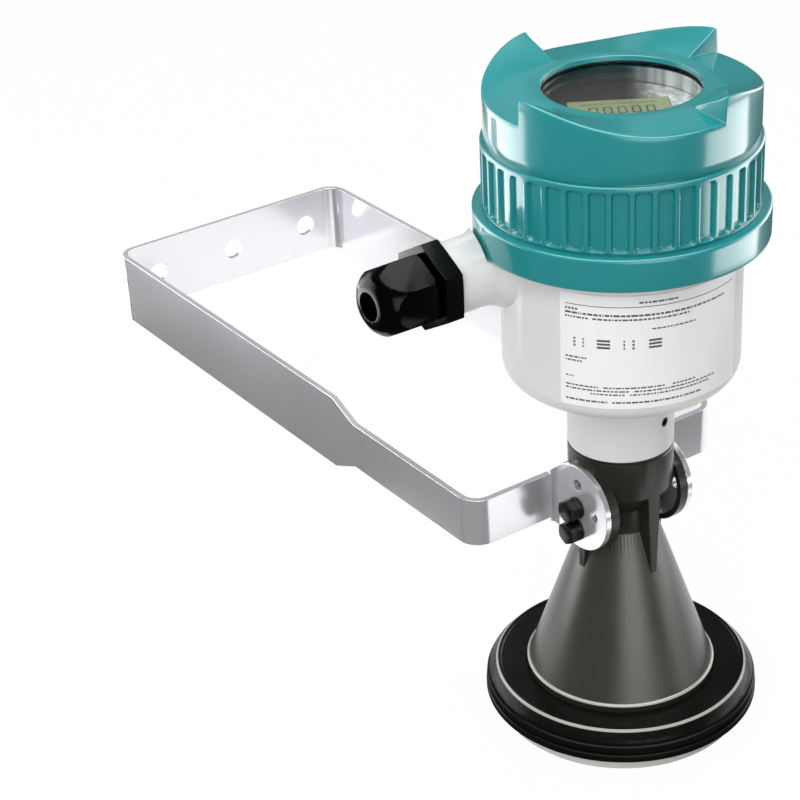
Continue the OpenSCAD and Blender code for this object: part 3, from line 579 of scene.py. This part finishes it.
def curved_bar(bm, r, t, a0, a1, z0, z1):
    """A thin raised bar on a cylinder; angles in degrees, sizes in millimetres."""
    steps = max(1, int(abs(a1 - a0) / 3))
    rows = []
    for i in range(steps + 1):
        a = math.radians(a0 + (a1 - a0) * i / steps)
        c, s = math.cos(a), math.sin(a)
        rows.append([(d * c, d * s, z) for d, z in ((r, z0), (r + t, z0), (r + t, z1), (r, z1))])
    vs = grid(bm, rows)
    bm.faces.new(vs[0][::-1])
    bm.faces.new(vs[-1])


def build_label_print():
    bm = bmesh.new()
    top = hi["type_label"].z / MM

    def bar(a0, a1, depth, h):
        curved_bar(bm, LABEL_R, PRINT_T, LABEL_FROM + a0, LABEL_FROM + a1, top - depth,
                   top - depth + h)

    bar(0, LABEL_SWEEP, *HEAD_LINE)
    seed = 7
    for depth, h, longest, spans in PRINT_LINES:
        for a0, a1 in spans:
            x = a0
            while x < a1 - LAST_WORD:
                seed = (seed * 1103515245 + 12345) % 2147483648
                w = SHORTEST_WORD + longest * (seed / 2147483648)
                bar(x, min(x + w, a1), depth, h)
                x += w + WORD_GAP
    for x, w in PRINT_BLOCKS:
        for i in range(3):
            bar(x, x + w, BLOCK_DEPTH - i * BLOCK_PITCH, BLOCK_LINE_H)
    add_piece("label_print", bm, "head", M["print"])


build_label_print()


# Sizes in millimetres, from the display's middle and as its reader sees it
DISPLAY_TURN = math.radians(57)
MARK_T = 0.05
STROKE = 0.7
DIGIT_W, DIGIT_PITCH = 3.4, 5.2
# Strokes of one digit: limits across and up
DIGIT_STROKES = (
    (0.3, 3.1, 5.9, 6.6), (0.3, 3.1, 0, STROKE),
    (0, STROKE, 0.5, 3.0), (DIGIT_W - STROKE, DIGIT_W, 0.5, 3.0),
    (0, STROKE, 3.5, 6.1), (DIGIT_W - STROKE, DIGIT_W, 3.5, 6.1),
)
BAR_PITCH, BAR_W = 1.9, 1.2


def build_display_marks():
    """Five zeros, a bar graph below them and a line above."""
    panel_top = hi["display_panel"].z / MM
    c, s = math.cos(DISPLAY_TURN), math.sin(DISPLAY_TURN)
    bm = bmesh.new()

    def block(x0, x1, y0, y1):
        rows = [[(x * c - y * s, x * s + y * c, z)
                 for x, y in ((x0, y0), (x1, y0), (x1, y1), (x0, y1))]
                for z in (panel_top, panel_top + MARK_T)]
        vs = grid(bm, rows)
        bm.faces.new(vs[1])
        bm.faces.new(vs[0][::-1])

    for i in range(5):
        x = -11.5 + i * DIGIT_PITCH
        for x0, x1, y0, y1 in DIGIT_STROKES:
            block(x + x0, x + x1, y0 - 1, y1 - 1)
    for i in range(14):
        x = -13 + i * BAR_PITCH
        block(x, x + BAR_W, -7.4, -5.4)
    block(-14, 14, 8.4, 8.7)
    add_piece("display_marks", bm, "head", M["ink"])


build_display_marks()


# ---------------------------------------------------------------- stage and light
GLOSS_BASE = 0.1                   # what reflections see where no card or strip is
# Strips of light that run down the cone: azimuth and half width in degrees, and strength
STRIPS = ((-148, 24, 5.0), (-17, 20, 3.2), (82, 28, 5.0))
# Bright bands of the floor that the lid and the housing mirror: the same values
LID_BANDS = ((-150, 27, 7.5), (55, 25, 6.0))
# Cards on the floor that the sheet metal mirrors: x and y limits, soft edge and strength
STRAP_CARDS = (
    (-0.66, -0.08, -0.085, 0.4, 0.012, 1.15),
    (-0.12, 0.08, 0.06, 0.4, 0.012, 1.15),
    (-0.7, -0.19, -0.235, -0.1, 0.01, 0.03),
    (-0.22, -0.08, -0.235, -0.14, 0.004, 0.05),
    (-0.19, -0.08, -0.133, -0.09, 0.004, 1.6),
    (0.095, 0.22, 0.0, 0.14, 0.01, 1.35),
)
FLOOR_HALF = 6.0
FLOOR_GREY = (0.55, 0.55, 0.55, 1)
FLOOR_WHITE = 1.02                 # strength of what the camera sees of the floor
FLOOR_WHITE_SHARE = 0.95           # the rest is its grey, which takes the shadow
WORLD_PLAIN = 0.38                 # strength of the light that the world gives
WHITE = (1, 1, 1, 1)


def azimuth_band(t, angle, centre, half, soft):
    """1 inside an azimuth band, in degrees, and 0 outside; angle is in radians."""
    turn = t.math("SUBTRACT", angle, math.radians(centre))
    away = t.math("ABSOLUTE", t.math("WRAP", turn, math.pi, -math.pi))
    return t.ramp(away, math.radians(half + soft), math.radians(half - soft))


def strips(t, angle):
    """Sum of the strips' strengths."""
    glow = 0.0
    for centre, half, strength in STRIPS:
        band = azimuth_band(t, angle, centre, half, half * 0.6)
        glow = t.math("ADD", glow, t.math("MULTIPLY", band, strength))
    return glow


def between(t, value, low, high, soft):
    """1 between two limits and 0 outside, with soft edges."""
    return t.math("MULTIPLY", t.ramp(value, low - soft, low + soft),
                  t.ramp(value, high + soft, high - soft))


def level(t, value, cover, strength):
    """value, with strength in its place where cover is 1."""
    return t.math("ADD", t.math("MULTIPLY", value, t.math("SUBTRACT", 1.0, cover)),
                  t.math("MULTIPLY", cover, strength))


def floor_glow(t):
    """What reflections see of the floor: strips far out, bands in a ring and cards close by."""
    x, y, _ = t.split(t.node("ShaderNodeNewGeometry").outputs["Position"])
    far, angle = t.length(x, y), t.math("ARCTAN2", y, x)
    outer = t.math("MULTIPLY", strips(t, angle), t.ramp(far, 0.95, 1.05))
    glow = t.math("ADD", GLOSS_BASE, outer)
    ring = t.math("MULTIPLY", t.ramp(far, 0.44, 0.48), t.ramp(far, 0.95, 0.85))
    for centre, half, strength in LID_BANDS:
        cover = t.math("MULTIPLY", ring, azimuth_band(t, angle, centre, half, 4))
        glow = level(t, glow, cover, strength)
    for x0, x1, y0, y1, soft, strength in STRAP_CARDS:
        cover = t.math("MULTIPLY", between(t, x, x0, x1, soft), between(t, y, y0, y1, soft))
        glow = level(t, glow, cover, strength)
    return glow


def build_floor():
    """A white floor; metal and gloss see its bright and dark cards in their reflections."""
    bm = bmesh.new()
    bmesh.ops.create_grid(bm, x_segments=8, y_segments=8, size=FLOOR_HALF)
    me = bpy.data.meshes.new("floor")
    bm.to_mesh(me)
    bm.free()
    floor = bpy.data.objects.new("floor", me)
    bpy.context.scene.collection.objects.link(floor)
    m = bpy.data.materials.new("pale_floor")
    t = Tree(m)
    out = t.node("ShaderNodeOutputMaterial")
    diffuse = t.node("ShaderNodeBsdfDiffuse", Color=FLOOR_GREY)
    white = t.node("ShaderNodeEmission", Color=WHITE, Strength=FLOOR_WHITE)
    shine = t.node("ShaderNodeEmission", Color=WHITE)
    t.link(floor_glow(t), shine.inputs["Strength"])
    seen = t.node("ShaderNodeLightPath").outputs
    direct = t.math("MULTIPLY", seen["Is Camera Ray"], FLOOR_WHITE_SHARE)
    plain = t.mix_shader(direct, diffuse.outputs[0], white.outputs[0])
    t.link(t.mix_shader(seen["Is Glossy Ray"], plain, shine.outputs[0]), out.inputs[0])
    give(floor, m)


build_floor()


def world_glow(t):
    """What reflections see of the world: strips low down, a bright zenith and a rear patch."""
    x, y, z = t.split(t.node("ShaderNodeTexCoord").outputs["Generated"])
    angle = t.math("ARCTAN2", y, x)
    glow = t.math("ADD", GLOSS_BASE, t.math("MULTIPLY", strips(t, angle), t.ramp(z, 0.5, 0.35)))
    glow = t.math("ADD", glow, t.ramp(z, 0.8, 0.88, 0.0, 5.0))
    rear = t.math("MULTIPLY", azimuth_band(t, angle, 140, 60, 20), t.ramp(z, 0.62, 0.5))
    return t.math("ADD", glow, t.math("MULTIPLY", rear, t.ramp(z, 0.3, 0.42, 0.0, 0.3)))


def build_world():
    world = bpy.data.worlds.new("studio")
    bpy.context.scene.world = world
    t = Tree(world)
    out = t.node("ShaderNodeOutputWorld")
    plain = t.node("ShaderNodeBackground", Color=WHITE, Strength=WORLD_PLAIN)
    white = t.node("ShaderNodeBackground", Color=WHITE, Strength=1.0)
    shine = t.node("ShaderNodeBackground", Color=WHITE)
    t.link(world_glow(t), shine.inputs["Strength"])
    seen = t.node("ShaderNodeLightPath").outputs
    # A ray that leaves the window after a reflection inside it counts as a reflection
    through = seen["Is Transmission Ray"]
    mirrored = t.math("MINIMUM", seen["Glossy Depth"], 1.0)
    gloss = t.math("MAXIMUM", seen["Is Glossy Ray"], t.math("MULTIPLY", through, mirrored))
    clear = t.math("MULTIPLY", through, t.math("SUBTRACT", 1.0, mirrored))
    direct = t.math("MAXIMUM", seen["Is Camera Ray"], clear)
    lit = t.mix_shader(gloss, plain.outputs[0], shine.outputs[0])
    t.link(t.mix_shader(direct, lit, white.outputs[0]), out.inputs[0])


build_world()


# Name, place, aim, side and power in watts of each lamp, in metres
LAMPS = (
    ("key_light", (0.85, -1.2, 1.3), (0, 0, 0.15), 1.2, 21.5),
    ("fill_light", (-1.2, -1.3, 0.9), (0, 0, 0.15), 1.0, 3),
    ("top_light", (0.0, 0.1, 1.9), (0, 0, 0.1), 1.4, 18),
)


def softbox(name, at, towards, side, power):
    light = bpy.data.lights.new(name, "AREA")
    light.shape = "RECTANGLE"
    light.size = light.size_y = side
    light.energy = power
    obj = bpy.data.objects.new(name, light)
    bpy.context.scene.collection.objects.link(obj)
    obj.location = at
    obj.rotation_euler = (Vector(towards) - Vector(at)).to_track_quat("-Z", "Y").to_euler()
    obj.visible_camera = False
    obj.visible_glossy = False


for lamp in LAMPS:
    softbox(*lamp)

bpy.context.scene.view_settings.view_transform = "Standard"
